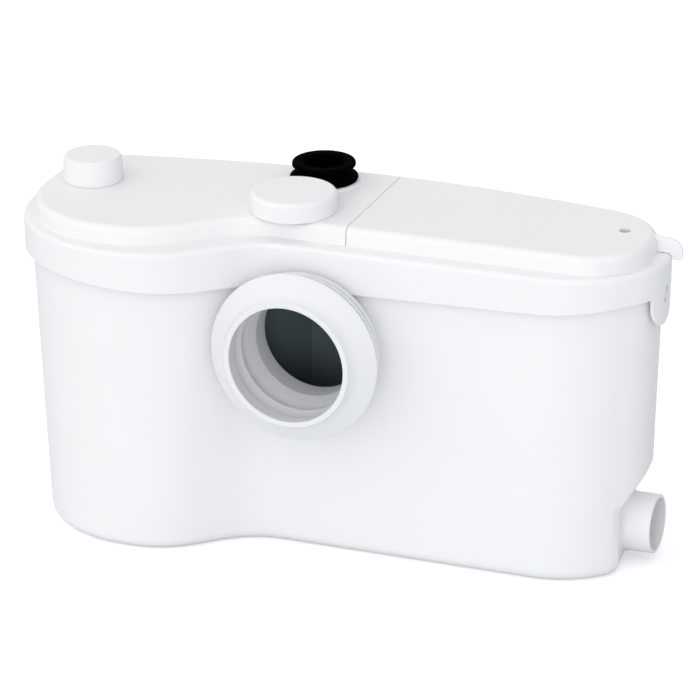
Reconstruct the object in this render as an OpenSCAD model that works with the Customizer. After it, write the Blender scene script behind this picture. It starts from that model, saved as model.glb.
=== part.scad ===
// Macerator toilet pump. A white case with a wavy front: the pan inlet sleeve sits in the dip of the front,
// the lid carries two caps and a rubber discharge connector, and a side inlet stands in a niche at the right.
// Millimetres, +Z up, the front faces -Y. The origin is on the floor under the axis of the pan inlet.

/* [Case plan] */
// Reach of the lid to the left of the inlet axis
lid_left = 252.3; // [247:0.1:262]
// Reach of the lid to the right of the inlet axis
lid_right = 271.2; // [267:0.1:280]
// Reach of the left lobe to the front
lobe_front = 119.5; // [115:0.5:125]
// Reach of the right wing to the front
wing_front = 61; // [58:0.5:64]
// Corner of the two back lines, before they are rounded together
back_corner = 113.5; // [110:0.5:118]
// Left end of the swell between lobe and dip, measured from the inlet axis
swell_x = -104.8; // [-108:0.1:-101]
// Start of the straight wing front, before rounding
dip_x = -39.8; // [-44:0.1:-35]
// Right end of the straight wing front, before rounding
nose_x = 229.7; // [226:0.1:234]
// Front end of the straight right side, before rounding
cheek_y = -13.5; // [-17:0.5:-11]
// Back end of the straight right side, before rounding
quarter_y = 71.5; // [69:0.5:78]
// Back end of the straight left side, before rounding
shoulder_y = 62; // [56:0.5:68]
// Place of the corner of the two back lines along the case
crown_x = 2.2; // [-10:0.1:14]
// Rounding of the left lobe
lobe_round = 104; // [90:1:108]
// Rounding of the swell
swell_round = 90; // [70:1:96]
// Rounding of the dip
dip_round = 48.5; // [36:0.5:60]
// Rounding of the wing's right end
nose_round = 84; // [70:1:86]
// Rounding of the front right corner
cheek_round = 56; // [44:1:58]
// Rounding of the back right corner
quarter_round = 68; // [58:1:70]
// Rounding of the back
back_round = 1000; // [700:10:1100]
// Rounding of the back left corner
shoulder_round = 63; // [52:1:72]
// Ledge between the lid rim and the raised top, along the front
ledge_front = 14; // [10:0.5:16]
// Ledge at the two ends
ledge_ends = 9.7; // [8:0.1:12]
// Ledge along the back
ledge_back = 15; // [12:0.5:18]
// Overhang of the lid over the tank
overhang = 5.5; // [4.5:0.1:7]
// Draft of the tank ends and lobe, from rim to floor
draft_ends = 8; // [5:0.5:10]
// Draft of the wing front
draft_wing = 2; // [1:0.5:5]

/* [Case heights] */
// Height of the ledge of the lid
deck_z = 260.5; // [256:0.5:266]
// Height of the raised top above the ledge
rise = 14.5; // [12:0.5:18]
// Lowest line of the lid skirt, beside the pan inlet
skirt_low = 224; // [220:0.5:228]
// Rise of the skirt edge towards the two ends
skirt_rise = 7; // [0:0.5:10]
// Rounding of the tank floor edge
floor_round = 10; // [6:0.5:14]
// Rounding of the lid rim
rim_round = 4; // [2:0.5:6]
// Rounding of the raised top
top_round = 6; // [3:0.5:8]
// Wall of the tank
tank_wall = 3; // [2.4:0.1:3.4]
// Wall of the lid and the service cover
lid_wall = 3; // [2:0.1:3.5]
// Thickness of the lid gasket
gasket_h = 2; // [1.5:0.1:3]

/* [Niche and side inlet] */
// Plane of the niche at its front edge
niche_x = 245.7; // [243:0.1:249]
// Turn of the niche plane
niche_turn = 7; // [4:0.5:9]
// Height at which the niche ceiling leaves the plane
niche_z = 57; // [54:0.5:62]
// Slope of the niche ceiling, sideways run for each unit of height
niche_slope = 0.75; // [0.6:0.05:1]
// Radius of the side spigot
spigot_r = 23.8; // [22:0.1:24]
// Wall of the side spigot
spigot_wall = 2.5; // [2:0.1:3]
// Reach of the spigot end from the inlet axis
spigot_end = 265.4; // [262:0.1:270]
// Length of the spigot that takes the hose, from its shoulder
spigot_grip = 21.5; // [19:0.5:21.5]
// Place of the spigot axis, front to back
spigot_y = 20; // [17:0.5:23]
// Height of the spigot axis
spigot_z = 30.5; // [30:0.5:33]

/* [Pan inlet] */
// Height of the pan inlet axis above the floor
inlet_z = 180; // [177:0.5:183]
// Radius of the sleeve mouth
mouth_r = 47.5; // [46:0.1:48.5]
// Width of the mouth lip
lip_w = 4.4; // [3.5:0.1:5.5]
// Radius of the sleeve flange
flange_r = 69.8; // [68:0.1:72]
// Reach of the mouth to the front
mouth_y = 108.5; // [107:0.5:112]
// Depth of the cone between lip and flange
cone_d = 17.5; // [16:0.5:19]
// Depth of the ribbed band of the flange
band_d = 26; // [22:0.5:27]
// Number of grooves round the band
band_grooves = 2; // [1:1:2]
// Drop in radius from the flange to the back of the band
band_drop = 5.6; // [4:0.1:6.5]
// Radius of the sleeve tube inside the case
throat_r = 44; // [42:0.1:44.8]
// Depth of the sleeve behind its mouth
sleeve_d = 69; // [66:0.5:72]
// Radius of the tank collar that carries the sleeve
collar_r = 57; // [55:0.1:58]

/* [Lid fittings] */
// Line between the lid and the service cover
split_x = 27.2; // [24:0.1:30]
// Gap along that line
split_gap = 0.6; // [0.4:0.1:1]
// Left inlet cap, place along the case
left_x = -204.7; // [-208:0.1:-200]
// Left inlet cap, place front to back
left_y = -7; // [-12:0.5:-2]
// Radius of the left cap
left_cap_r = 23.7; // [23:0.1:26]
// Height of the left cap
left_cap_h = 20.5; // [18:0.5:24]
// Radius of the left inlet neck
left_neck_r = 20; // [18:0.1:20.4]
// Inspection cap, place along the case
access_x = -26.5; // [-29:0.1:-24]
// Inspection cap, place front to back
access_y = -19; // [-20:0.5:-16]
// Radius of the inspection cap
access_cap_r = 34.4; // [34:0.1:35.5]
// Height of the inspection cap
access_cap_h = 16; // [14:0.5:19]
// Radius of the inspection neck
access_neck_r = 26; // [25:0.1:26.8]
// Rounding of the inspection cap's top edge
cap_round = 3.5; // [2:0.1:4]
// Wall of the two necks
neck_wall = 3; // [2:0.1:3.5]
// Running gap between caps and necks
cap_gap = 0.5; // [0.3:0.05:0.8]
// Discharge connector, place along the case
out_x = -27.3; // [-29:0.1:-25]
// Discharge connector, place front to back
out_y = 49; // [47.5:0.5:51]
// Radius of the upper disc of the connector
out_top_r = 25.6; // [24:0.1:27]
// Radius of the lower disc of the connector
out_low_r = 27.5; // [26:0.1:28.5]
// Radius of the collar that the lid has under it
out_collar_r = 29.3; // [28.8:0.1:30.5]
// Height of the connector above the raised top
out_h = 17.5; // [15:0.5:20]
// Radius of the hose seat in the connector
hose_r = 16; // [15.5:0.1:17]
// Outside radius of the discharge pipe
pipe_r = 15.7; // [14.5:0.1:15.8]
// Wall of the discharge pipe
pipe_wall = 2.6; // [2:0.1:3]
// Cover screw, place along the case
screw_x = 232.9; // [228:0.1:237]
// Cover screw, place front to back
screw_y = 22.5; // [18:0.5:27]
// Radius of the screw well in the cover
screw_well_r = 4.5; // [4.4:0.1:5.5]

/* [Grinder and pump] */
// Axis of the motor, front to back
motor_y = -7; // [-8:0.1:-6]
// Height of the motor axis
motor_z = 138.5; // [136:0.5:141]
// Radius of the motor can
motor_r = 38; // [36:0.1:38.5]
// Left end of the motor can
motor_x = 98.5; // [98:0.5:101]
// Length of the motor can
motor_len = 107; // [104:0.5:110]
// Radius of the motor shaft
shaft_r = 6; // [5:0.1:6.5]
// Running gap between shaft and bearings
shaft_gap = 0.05; // [0.02:0.01:0.1]
// Radius of the grinder rotor
grinder_r = 28.5; // [26:0.1:28.8]
// Number of cutters on the grinder rotor
cutters = 4; // [3:1:6]
// Radius of the impeller
impeller_r = 33; // [30:0.1:34]
// Number of impeller vanes
vanes = 6; // [4:1:8]
// Radius of the pump chamber
volute_r = 36; // [35:0.1:37]
// Wall of the grinder chamber
chamber_wall = 3; // [2.5:0.1:3.2]
// Right wall of the grinder chamber, inside
chamber_x = 60; // [59:0.5:60.5]

/* [Level switch] */
// Level chamber, place along the case
level_x = -140; // [-142:0.5:-137]
// Level chamber, place front to back
level_y = -20; // [-24:0.5:-16]
// Radius of the dip tube
dip_r = 21; // [19:0.1:23]
// Radius of the membrane
membrane_r = 33; // [31:0.1:33.5]
// Height of the membrane seat
membrane_z = 207; // [204:0.5:209]
// Stroke of the switch plunger
plunger_stroke = 3; // [2:0.1:4]

/* [Hidden] */
$fn = 64;
// points along each rounded corner of an outline
arc_steps = 9;
top_z = deck_z + rise;
tank_h = deck_z - lid_wall - gasket_h;

// Plan outlines, each a list of corners [x, y, rounding], anticlockwise from the front left.
lid_plan = [
    [-lid_left, -lobe_front, lobe_round],
    [swell_x, -lobe_front, swell_round],
    [dip_x, -wing_front, dip_round],
    [nose_x, -wing_front, nose_round],
    [lid_right, cheek_y, cheek_round],
    [lid_right, quarter_y, quarter_round],
    [crown_x, back_corner, back_round],
    [-lid_left, shoulder_y, shoulder_round]];
top_plan = [
    [-lid_left + ledge_ends, -lobe_front + ledge_front, lobe_round - 21],
    [swell_x - 13.5, -lobe_front + ledge_front, swell_round + 2],
    [dip_x - 13.5, -wing_front + ledge_front, dip_round + ledge_front],
    [nose_x - 3.5, -wing_front + ledge_front, nose_round - 50],
    [lid_right - ledge_ends, cheek_y - 10, cheek_round - 6],
    [lid_right - ledge_ends, quarter_y - ledge_ends, quarter_round - ledge_ends],
    [crown_x + 3.5, back_corner - ledge_back, back_round],
    [-lid_left + ledge_ends, shoulder_y - ledge_ends, shoulder_round - ledge_ends]];
draft_end = overhang + draft_ends;
draft_front = overhang + draft_wing;
base_plan = [
    [-lid_left + draft_end, -lobe_front + draft_end, lobe_round - draft_end],
    [swell_x - 5.5, -lobe_front + draft_end, swell_round - draft_end],
    [dip_x - 11.5, -wing_front + draft_front, dip_round + draft_end],
    [nose_x - 11.5, -wing_front + draft_front, nose_round - 4],
    [lid_right - draft_end, cheek_y + overhang, cheek_round - draft_end],
    [lid_right - draft_end, quarter_y - 11.5, quarter_round - draft_end],
    [crown_x, back_corner - draft_end, back_round - draft_end],
    [-lid_left + draft_end, shoulder_y - 10.5, shoulder_round - draft_end]];

function unit(v) = v / norm(v);

// One rounded corner: points with their outward normals, [x, y, nx, ny]
function corner_arc(plan, i) =
    let (m = len(plan),
        p = [plan[i][0], plan[i][1]],
        a = [plan[(i + m - 1) % m][0], plan[(i + m - 1) % m][1]],
        b = [plan[(i + 1) % m][0], plan[(i + 1) % m][1]],
        u = unit(a - p),
        v = unit(b - p),
        half = acos(u * v) / 2,
        turn = cross(p - a, b - p) > 0 ? 1 : -1,
        r = plan[i][2],
        c = p + unit(u + v) * r / sin(half),
        s = p + u * r / tan(half) - c,
        a0 = atan2(s[1], s[0]),
        sweep = turn * (180 - 2 * half))
    [for (k = [0:arc_steps])
        let (q = a0 + sweep * k / arc_steps)
        [c[0] + r * cos(q), c[1] + r * sin(q), turn * cos(q), turn * sin(q)]];

function outline(plan) = [for (i = [0:len(plan) - 1]) each corner_arc(plan, i)];
function inset(pts, d) = [for (p = pts) [p[0] - d * p[2], p[1] - d * p[3], p[2], p[3]]];
function ring(pts, d, z) = [for (p = pts) [p[0] + d * p[2], p[1] + d * p[3], z]];
function left_of(r, x) = [for (p = r) [min(p[0], x), p[1], p[2]]];
function right_of(r, x) = [for (p = r) [max(p[0], x), p[1], p[2]]];

lid_pts = outline(lid_plan);
top_pts = outline(top_plan);
base_pts = outline(base_plan);
rim_pts = inset(lid_pts, overhang);

// Closed surface through rings of equal length, closed by a fan at each end
module skin(rings, first, last) {
    n = len(rings[0]);
    m = len(rings);
    polyhedron(
        points = concat([for (r = rings) each r], [first, last]),
        faces = concat(
            [for (j = [0:m - 2]) for (i = [0:n - 1])
                [j * n + i, (j + 1) * n + i, (j + 1) * n + (i + 1) % n]],
            [for (j = [0:m - 2]) for (i = [0:n - 1])
                [j * n + i, (j + 1) * n + (i + 1) % n, j * n + (i + 1) % n]],
            [for (i = [0:n - 1]) [m * n, i, (i + 1) % n]],
            [for (i = [0:n - 1]) [(m - 1) * n + i, m * n + 1, (m - 1) * n + (i + 1) % n]]),
        convexity = 8);
}

// Closed band through rings, the last joined to the first
module band(rings) {
    n = len(rings[0]);
    m = len(rings);
    polyhedron(
        points = [for (r = rings) each r],
        faces = concat(
            [for (j = [0:m - 1]) for (i = [0:n - 1])
                [j * n + i, (j + 1) % m * n + i, (j + 1) % m * n + (i + 1) % n]],
            [for (j = [0:m - 1]) for (i = [0:n - 1])
                [j * n + i, (j + 1) % m * n + (i + 1) % n, j * n + (i + 1) % n]]),
        convexity = 8);
}

module along_x(x, y, z) { translate([x, y, z]) rotate([0, 90, 0]) children(); }
module along_front(x, y, z) { translate([x, y, z]) rotate([90, 0, 0]) children(); }
module tube(r, wall, h) {
    difference() {
        cylinder(r = r, h = h);
        translate([0, 0, -1]) cylinder(r = r - wall, h = h + 2);
    }
}

// Tank: the wall runs from the floor plan to the rim plan, and the niche plane cuts its right end
function niche_limit(y, z, d) =
    niche_x - tan(niche_turn) * (y + 23) + max(0, z - niche_z) * niche_slope - d;
function niched(r, d) = [for (p = r) [min(p[0], niche_limit(p[1], p[2], d)), p[1], p[2]]];
function tank_ring(z, d) =
    let (t = max(0, (z - floor_round) / (tank_h - floor_round)))
    niched([for (i = [0:len(base_pts) - 1])
        let (p = base_pts[i] + (rim_pts[i] - base_pts[i]) * t)
        [p[0] - d * p[2], p[1] - d * p[3], z]], d);
niche_steps = [for (k = [0:7]) niche_z + 6 * k];
inner_round = floor_round - tank_wall;

module tank_shell() {
    outer = [for (a = [0:30:90])
        tank_ring(floor_round * (1 - cos(a)), floor_round * (1 - sin(a)))];
    outer_wall = [for (z = niche_steps) tank_ring(z, 0)];
    inner_wall = [for (k = [len(niche_steps) - 1:-1:0]) tank_ring(niche_steps[k], tank_wall)];
    inner = [for (a = [90:-30:0])
        tank_ring(tank_wall + inner_round * (1 - cos(a)), tank_wall + inner_round * (1 - sin(a)))];
    skin(concat(outer, outer_wall, [tank_ring(tank_h, 0), tank_ring(tank_h, tank_wall)], inner_wall, inner),
        [-60, 15, 0], [-60, 15, tank_wall]);
}

wing_wall_y = -wing_front + overhang;
spigot_in = niche_limit(spigot_y, spigot_z, 0) - 12;
// the thicker root of the spigot stops the hose square to its axis
shoulder = 0.8;
nub_y = 10.5;
nub_z = skirt_low + 8;
nub_r = 6.8;
gland_x = 110;
gland_z = skirt_low - 9;
gland_r = 8;

module tank() {
    color("white") difference() {
        union() {
            tank_shell();
            along_front(0, wing_wall_y + 4, inlet_z) cylinder(r = collar_r, h = 34);
            along_x(spigot_in, spigot_y, spigot_z) cylinder(r = spigot_r, h = spigot_end - spigot_in);
            along_x(spigot_in, spigot_y, spigot_z)
                cylinder(r = spigot_r + shoulder, h = spigot_end - spigot_grip - spigot_in);
            flap_ears();
            along_x(lid_right - overhang - 4, nub_y, nub_z) cylinder(r1 = nub_r, r2 = nub_r - 1.5, h = 8);
        }
        along_front(0, wing_wall_y + 8, inlet_z) cylinder(r = collar_r - 3.5, h = 50);
        along_x(spigot_in - 1, spigot_y, spigot_z) cylinder(r = spigot_r - spigot_wall, h = 80);
        along_front(gland_x, 120, gland_z) cylinder(r = gland_r, h = 60);
        flap_pin(flap_pin_r + shaft_gap, ear_gap + 20);
    }
}

// Lid: skirt, rounded ledge and the raised left part in one shell, open under the service cover
function skirt_z(x) = skirt_low + skirt_rise * pow(min(abs(x - 28.7) / 200, 1.1), 2);
function skirt_ring(d) =
    [for (p = lid_pts) [p[0] - d * p[2], p[1] - d * p[3], skirt_z(p[0])]];
// profile of the raised top, [inset, height], from its wall to its flat top
top_profile = concat([[0.3, deck_z], [0.8, top_z - top_round]],
    [for (a = [30:30:90]) [0.8 + top_round * (1 - cos(a)), top_z - top_round * (1 - sin(a))]]);
top_inside = [[0.8 + top_round + 1, top_z - lid_wall], [0.8 + lid_wall, top_z - lid_wall - 3],
    [0.3 + lid_wall, deck_z - lid_wall]];

module lid_shell() {
    edge = split_x - split_gap / 2;
    inner = [for (q = top_inside) left_of(ring(top_pts, -q[0], q[1]), edge - lid_wall)];
    outer = [for (q = top_profile) left_of(ring(top_pts, -q[0], q[1]), edge)];
    rounding = [for (a = [0:30:90])
        ring(lid_pts, -rim_round * (1 - cos(a)), deck_z - rim_round * (1 - sin(a)))];
    skin(concat(inner,
        [ring(top_pts, -1, deck_z - lid_wall), ring(lid_pts, -lid_wall, deck_z - lid_wall)],
        [skirt_ring(lid_wall), skirt_ring(0)], rounding, [ring(top_pts, 0, deck_z)], outer),
        [-110, 0, top_z - lid_wall], [-110, 0, top_z]);
}

tongue_w = 37;
tongue_y = nub_y - 4.5;
tongue_low = skirt_low - 15.5;
tongue_top = deck_z - 16.5;
hatch_r = 12;
left_neck_low = deck_z - 10.5;
access_low = 235;
post_r = 5;

module rounded_plate(w, d, r) {
    translate([r, 0]) square([w - 2 * r, d]);
    translate([0, r]) square([w, d - 2 * r]);
    for (x = [r, w - r]) for (y = [r, d - r]) translate([x, y]) circle(r = r);
}

module clip_tongue() {
    intersection() {
        band([ring(lid_pts, -lid_wall, tongue_low - 2), ring(lid_pts, 0, tongue_low - 2),
            ring(lid_pts, 0, tongue_top), ring(lid_pts, -lid_wall, tongue_top)]);
        translate([lid_right - 30, tongue_y, 0]) rotate([90, 0, 90]) linear_extrude(60) {
            translate([-tongue_w / 2, tongue_low + tongue_w / 2])
                square([tongue_w, tongue_top + 1 - tongue_low - tongue_w / 2]);
            translate([0, tongue_low + tongue_w / 2]) circle(r = tongue_w / 2);
        }
    }
}

module lid() {
    color("white") difference() {
        union() {
            lid_shell();
            clip_tongue();
            translate([left_x, left_y, left_neck_low])
                cylinder(r = left_neck_r, h = top_z - left_neck_low + left_cap_h - 5);
            translate([access_x, access_y, access_low])
                cylinder(r = access_neck_r, h = top_z - access_low + access_cap_h - 5);
            translate([out_x, out_y, top_z - 1]) cylinder(r = out_collar_r, h = 3.2);
            translate([screw_x, screw_y, deck_z - 16]) cylinder(r = 6, h = 15);
            for (s = [-1, 1]) translate([level_x + s * 24, level_y + s * 18, switch_top])
                cylinder(r = post_r, h = top_z - switch_top - 1);
        }
        translate([left_x, left_y, left_neck_low - 1]) cylinder(r = left_neck_r - neck_wall, h = 80);
        translate([access_x, access_y, access_low - 1]) cylinder(r = access_neck_r - neck_wall, h = 80);
        translate([out_x, out_y, top_z - 20]) cylinder(r = out_groove_r + 0.3, h = 40);
        translate([screw_x, screw_y, deck_z - 30]) cylinder(r = 1.8, h = 40);
        translate([split_x + 26, -36, deck_z - lid_wall - 1]) linear_extrude(lid_wall + 2)
            rounded_plate(160, 100, hatch_r);
        along_front(0, -wing_front + 12, inlet_z) cylinder(r = collar_r + 1, h = 30);
        along_x(lid_right - 12, nub_y, nub_z) cylinder(r = nub_r + 0.5, h = 20);
    }
}

module lid_gasket() {
    color("dimgray") band([
        ring(rim_pts, -tank_wall + 0.2, tank_h),
        ring(rim_pts, -0.2, tank_h),
        ring(rim_pts, -0.2, tank_h + gasket_h),
        ring(rim_pts, -tank_wall + 0.2, tank_h + gasket_h)]);
}

// Service cover: the raised top right of the split line, with the lug that lifts it
cover_x = split_x + split_gap / 2;
cover_right = [for (p = top_pts) if (p[0] > split_x + 2) p];
back_left = [for (p = corner_arc(top_plan, 6)) if (p[0] <= split_x + 2) p][0];
back_right = cover_right[len(cover_right) - 1];
cover_back_y = back_right[1]
    + (back_left[1] - back_right[1]) * (back_right[0] - cover_x) / (back_right[0] - back_left[0]);
cover_pts = concat([[cover_x, -wing_front + ledge_front, 0, -1]], cover_right,
    [[cover_x, cover_back_y, 0, 1]]);
lug_y = 22.5;
lug_w = 2.6;
lug_r = 12.8;
lug_gap = 0.3;
well_floor = deck_z + 6;

module cover_shell() {
    inner = [for (q = [top_inside[0], top_inside[1], [0.3 + lid_wall, deck_z]])
        right_of(ring(cover_pts, -q[0], q[1]), cover_x + lid_wall)];
    outer = [for (q = top_profile) right_of(ring(cover_pts, -q[0], q[1]), cover_x)];
    skin(concat(inner, outer), [150, 20, top_z - lid_wall], [150, 20, top_z]);
}

module lifting_lug() {
    bend_x = lid_right - rim_round - 0.5;
    tip_w = 8;
    translate([0, lug_y + lug_w, 0]) rotate([90, 0, 0]) linear_extrude(lug_w) difference() {
        union() {
            translate([bend_x, deck_z]) circle(r = lug_r);
            translate([bend_x - 13.5, deck_z]) square([13.5, lug_r]);
            translate([lid_right + lug_gap, deck_z - 5]) square([tip_w, 5]);
        }
        translate([0, deck_z - 40]) square([bend_x, 40 + lug_gap]);
        translate([0, deck_z - 40]) square([lid_right + lug_gap, 40 - rim_round]);
        translate([lid_right - rim_round, deck_z - rim_round]) circle(r = rim_round + lug_gap);
        translate([0, deck_z - 45]) square([lid_right + 40, 40]);
    }
}

module service_cover() {
    color("white") difference() {
        union() {
            cover_shell();
            lifting_lug();
            translate([screw_x, screw_y, deck_z]) cylinder(r = screw_well_r + 2.5, h = rise - 1);
        }
        translate([screw_x, screw_y, well_floor]) cylinder(r = screw_well_r, h = rise);
        translate([screw_x, screw_y, deck_z - 1]) cylinder(r = 2.4, h = rise);
    }
}

module cover_screw() {
    color("silver") translate([screw_x, screw_y, 0]) difference() {
        union() {
            translate([0, 0, well_floor]) cylinder(r = screw_well_r - 0.5, h = 2.6);
            translate([0, 0, deck_z - 12]) cylinder(r = 1.6, h = well_floor - deck_z + 12.5);
        }
        for (a = [0, 90]) rotate(a) translate([-2.6, -0.5, well_floor + 1.2]) cube([5.2, 1, 3]);
    }
}

// Caps: each drops over its neck and lifts straight off
left_neck_top = top_z + left_cap_h - 5;
access_neck_top = top_z + access_cap_h - 5;

module left_cap() {
    inner_r = left_neck_r + cap_gap;
    lip_r = left_cap_r - 1.3;
    color("white") translate([left_x, left_y, 0]) rotate_extrude() polygon([
        [0, left_neck_top + 1], [inner_r, left_neck_top + 1], [inner_r, top_z + 0.1],
        [left_cap_r + 0.4, top_z + 0.1], [left_cap_r, top_z + left_cap_h - 2.6],
        [lip_r + 0.6, top_z + left_cap_h - 1.9], [lip_r, top_z + left_cap_h - 1.9],
        [lip_r, top_z + left_cap_h - 1.3], [lip_r - 0.5, top_z + left_cap_h - 0.5],
        [lip_r - 1.8, top_z + left_cap_h], [0, top_z + left_cap_h + 0.4]]);
}

module left_cap_seal() {
    color("dimgray") translate([left_x, left_y, left_neck_top]) tube(left_neck_r, neck_wall, 0.8);
}

module inspection_cap() {
    inner_r = access_neck_r + cap_gap;
    rounding = [for (a = [0:15:90])
        [access_cap_r - cap_round * (1 - cos(a)), top_z + access_cap_h - cap_round * (1 - sin(a))]];
    color("white") translate([access_x, access_y, 0]) rotate_extrude() polygon(concat(
        [[0, access_neck_top + 1], [inner_r, access_neck_top + 1], [inner_r, top_z + 0.6],
            [inner_r + 2.2, top_z + 0.6], [inner_r + 2.2, access_neck_top + 0.6],
            [access_cap_r - 2.6, access_neck_top + 0.6], [access_cap_r - 2.6, top_z + 0.1],
            [access_cap_r, top_z + 0.1]], rounding, [[0, top_z + access_cap_h + 0.5]]));
}

module inspection_cap_seal() {
    color("dimgray") translate([access_x, access_y, access_neck_top]) tube(access_neck_r, neck_wall, 0.8);
}

// Discharge connector: a black rubber spool, held by its groove in the lid, over the end of the pipe
out_groove_r = 21.5;
out_bore = pipe_r + 0.1;

module discharge_connector() {
    color([0.03, 0.03, 0.03]) translate([out_x, out_y, 0]) rotate_extrude() polygon([
        [out_bore, top_z - 11], [out_groove_r + 2.6, top_z - 9.5], [out_groove_r + 3.4, top_z - lid_wall - 0.2],
        [out_groove_r, top_z - lid_wall], [out_groove_r, top_z + 2.3], [out_low_r - 0.8, top_z + 2.3],
        [out_low_r, top_z + 3.4], [out_low_r, top_z + 5], [out_low_r - 3, top_z + 7],
        [out_groove_r + 0.2, top_z + 9.6], [out_groove_r + 0.4, top_z + 11],
        [out_top_r - 0.6, top_z + out_h - 3.6], [out_top_r, top_z + out_h - 2.4],
        [out_top_r, top_z + out_h - 1], [out_top_r - 1, top_z + out_h],
        [hose_r + 2, top_z + out_h], [hose_r, top_z + out_h - 2], [hose_r, top_z - 3],
        [out_bore - 1.6, top_z - 3], [out_bore - 1.6, pipe_top], [out_bore, pipe_top]]);
}

// Pan inlet sleeve: lip, cone, ribbed band over the collar, and a tube into the grinder chamber
collar_front = 34 - 4 - wing_wall_y;
// inner radius of the wide part of the sleeve, which runs inside the collar
tube_r = mouth_r + 3;

// the back of the band is cut on a slant where the case swells to the front on the left
function band_back(x) = wing_wall_y - 9 + 0.54 * (x + 38);

module swell_side(from_x, low) {
    far_x = -flange_r - 8;
    translate([0, 0, low]) linear_extrude(2 * flange_r + 10)
        polygon([[from_x, band_back(from_x)], [from_x, 0], [far_x, 0], [far_x, band_back(far_x)]]);
}

module inlet_sleeve() {
    s_flange = sleeve_d - cone_d;
    s_band = s_flange - band_d;
    s_web = collar_front - mouth_y + sleeve_d + 0.3;
    s_step = throat_r + 3 - tube_r + s_web - 24;
    function band_r(s) = flange_r - band_drop * (s_flange - s) / band_d;
    tail = [[throat_r, 0], [throat_r + 3, 0], [throat_r + 3, s_step - 1.4], [tube_r + 0.4, s_step + 3.6],
        [tube_r + 2.2, s_step + 11.3], [tube_r + 2.2, s_web], [collar_r + 0.2, s_web],
        [collar_r + 0.2, s_band], [band_r(s_band) - 1, s_band], [band_r(s_band), s_band + 1]];
    ribs = [for (k = [band_grooves - 1:-1:0]) each let (s = s_flange - 4.8 - 10 * k)
        [[band_r(s), s], [band_r(s) - 1.8, s + 0.5], [band_r(s) - 1.8, s + 1.1], [band_r(s + 1.6), s + 1.6]]];
    face = [[flange_r, s_flange - 1.2], [flange_r - 0.8, s_flange + 0.6],
        [mouth_r + lip_w + 2.6, sleeve_d - 5.4], [mouth_r + lip_w + 0.4, sleeve_d - 4.2],
        [mouth_r + lip_w, sleeve_d - 0.9], [mouth_r + lip_w - 0.9, sleeve_d], [mouth_r + 0.8, sleeve_d]];
    bore = [[mouth_r, sleeve_d - 0.8], [mouth_r, sleeve_d - 3], [tube_r - 0.2, sleeve_d - 4.4],
        [tube_r - 0.2, s_web + 4.2], [tube_r - 1, s_web + 3.2], [tube_r - 1, s_web + 2.4],
        [tube_r, s_web + 1.4], [tube_r, s_step + 13.9], [tube_r - 1, s_step + 13.3],
        [tube_r - 1, s_step + 12.5], [tube_r - 0.2, s_step + 11.7], [tube_r - 1.7, s_step + 4.7],
        [throat_r + 0.6, s_step], [throat_r, s_step - 0.6]];
    color("white") difference() {
        along_front(0, sleeve_d - mouth_y, inlet_z) rotate_extrude() polygon(concat(tail, ribs, face, bore));
        swell_side(-tube_r - 2.7, inlet_z - flange_r - 5);
        swell_side(-38, inlet_z + 42);
    }
}

// Grinder chamber: a dark moulded box behind the inlet, its left wall slanted
chamber_low = 97;
chamber_high = 231;
chamber_front = -44;
chamber_back = 27;
leg_r = 6;

module chamber_plan(grow) {
    polygon([[-75 - grow * 1.6, chamber_front - grow], [chamber_x + grow, chamber_front - grow],
        [chamber_x + grow, chamber_back + grow], [-31 - grow * 0.7, chamber_back + grow]]);
}

module grinder_chamber() {
    color([0.18, 0.21, 0.23]) difference() {
        union() {
            translate([0, 0, chamber_low - chamber_wall])
                linear_extrude(chamber_high - chamber_low + chamber_wall) chamber_plan(chamber_wall);
            for (p = [[-50, -34], [48, -34], [48, 14], [-22, 14]])
                translate([p[0], p[1], tank_wall]) cylinder(r = leg_r, h = chamber_low - tank_wall - 1);
        }
        translate([0, 0, chamber_low]) linear_extrude(200) chamber_plan(0);
        along_front(0, chamber_front + 1, inlet_z) cylinder(r = throat_r + 3.2, h = 10);
        along_x(chamber_x - 1, motor_y, motor_z) cylinder(r = suction_r, h = 10);
    }
}

module chamber_cover() {
    color([0.18, 0.21, 0.23]) translate([0, 0, chamber_high]) difference() {
        linear_extrude(access_low - chamber_high) union() {
            chamber_plan(chamber_wall);
            translate([access_x, access_y]) circle(r = access_neck_r + 2);
        }
        translate([access_x, access_y, -1]) cylinder(r = 22, h = 20);
    }
}

// Grinder: a fixed slotted ring and a rotor with cutters that sweeps inside it
suction_r = 24;
cutter_gap = 0.7;
cutter_len = 12;

module cutter_ring() {
    color("silver") along_x(chamber_x - cutter_len, motor_y, motor_z) difference() {
        tube(grinder_r + cutter_gap + 3, 3, cutter_len);
        for (a = [0:30:330]) rotate(a) translate([grinder_r, -1.6, -1]) cube([8, 3.2, cutter_len - 3]);
    }
}

module grinder_rotor() {
    color("silver") along_x(chamber_x - cutter_len + 1, motor_y, motor_z) difference() {
        union() {
            cylinder(r = grinder_r, h = 3);
            translate([0, 0, -6]) cylinder(r = shaft_r + 5, h = 9);
            for (k = [0:cutters - 1]) rotate(k * 360 / cutters)
                translate([grinder_r * 0.55, -3, 0]) cube([grinder_r * 0.41, 6, cutter_len - 3]);
        }
        translate([0, 0, -10]) cylinder(r = shaft_r, h = 40);
        for (k = [0:cutters - 1]) rotate((k + 0.5) * 360 / cutters)
            translate([grinder_r * 0.68, 0, -1]) cylinder(r = 4.5, h = 6);
    }
}

// Pump: volute with a level outlet to the back, and an open impeller
volute_x = chamber_x + chamber_wall;
volute_wall = 3;
volute_in = motor_x - volute_x - 3 * volute_wall - 1;
outlet_x = volute_x + pipe_r + 0.3;
outlet_z = motor_z + volute_r - pipe_r + pipe_wall - 1.5;
bend_r = 16.8;

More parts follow.
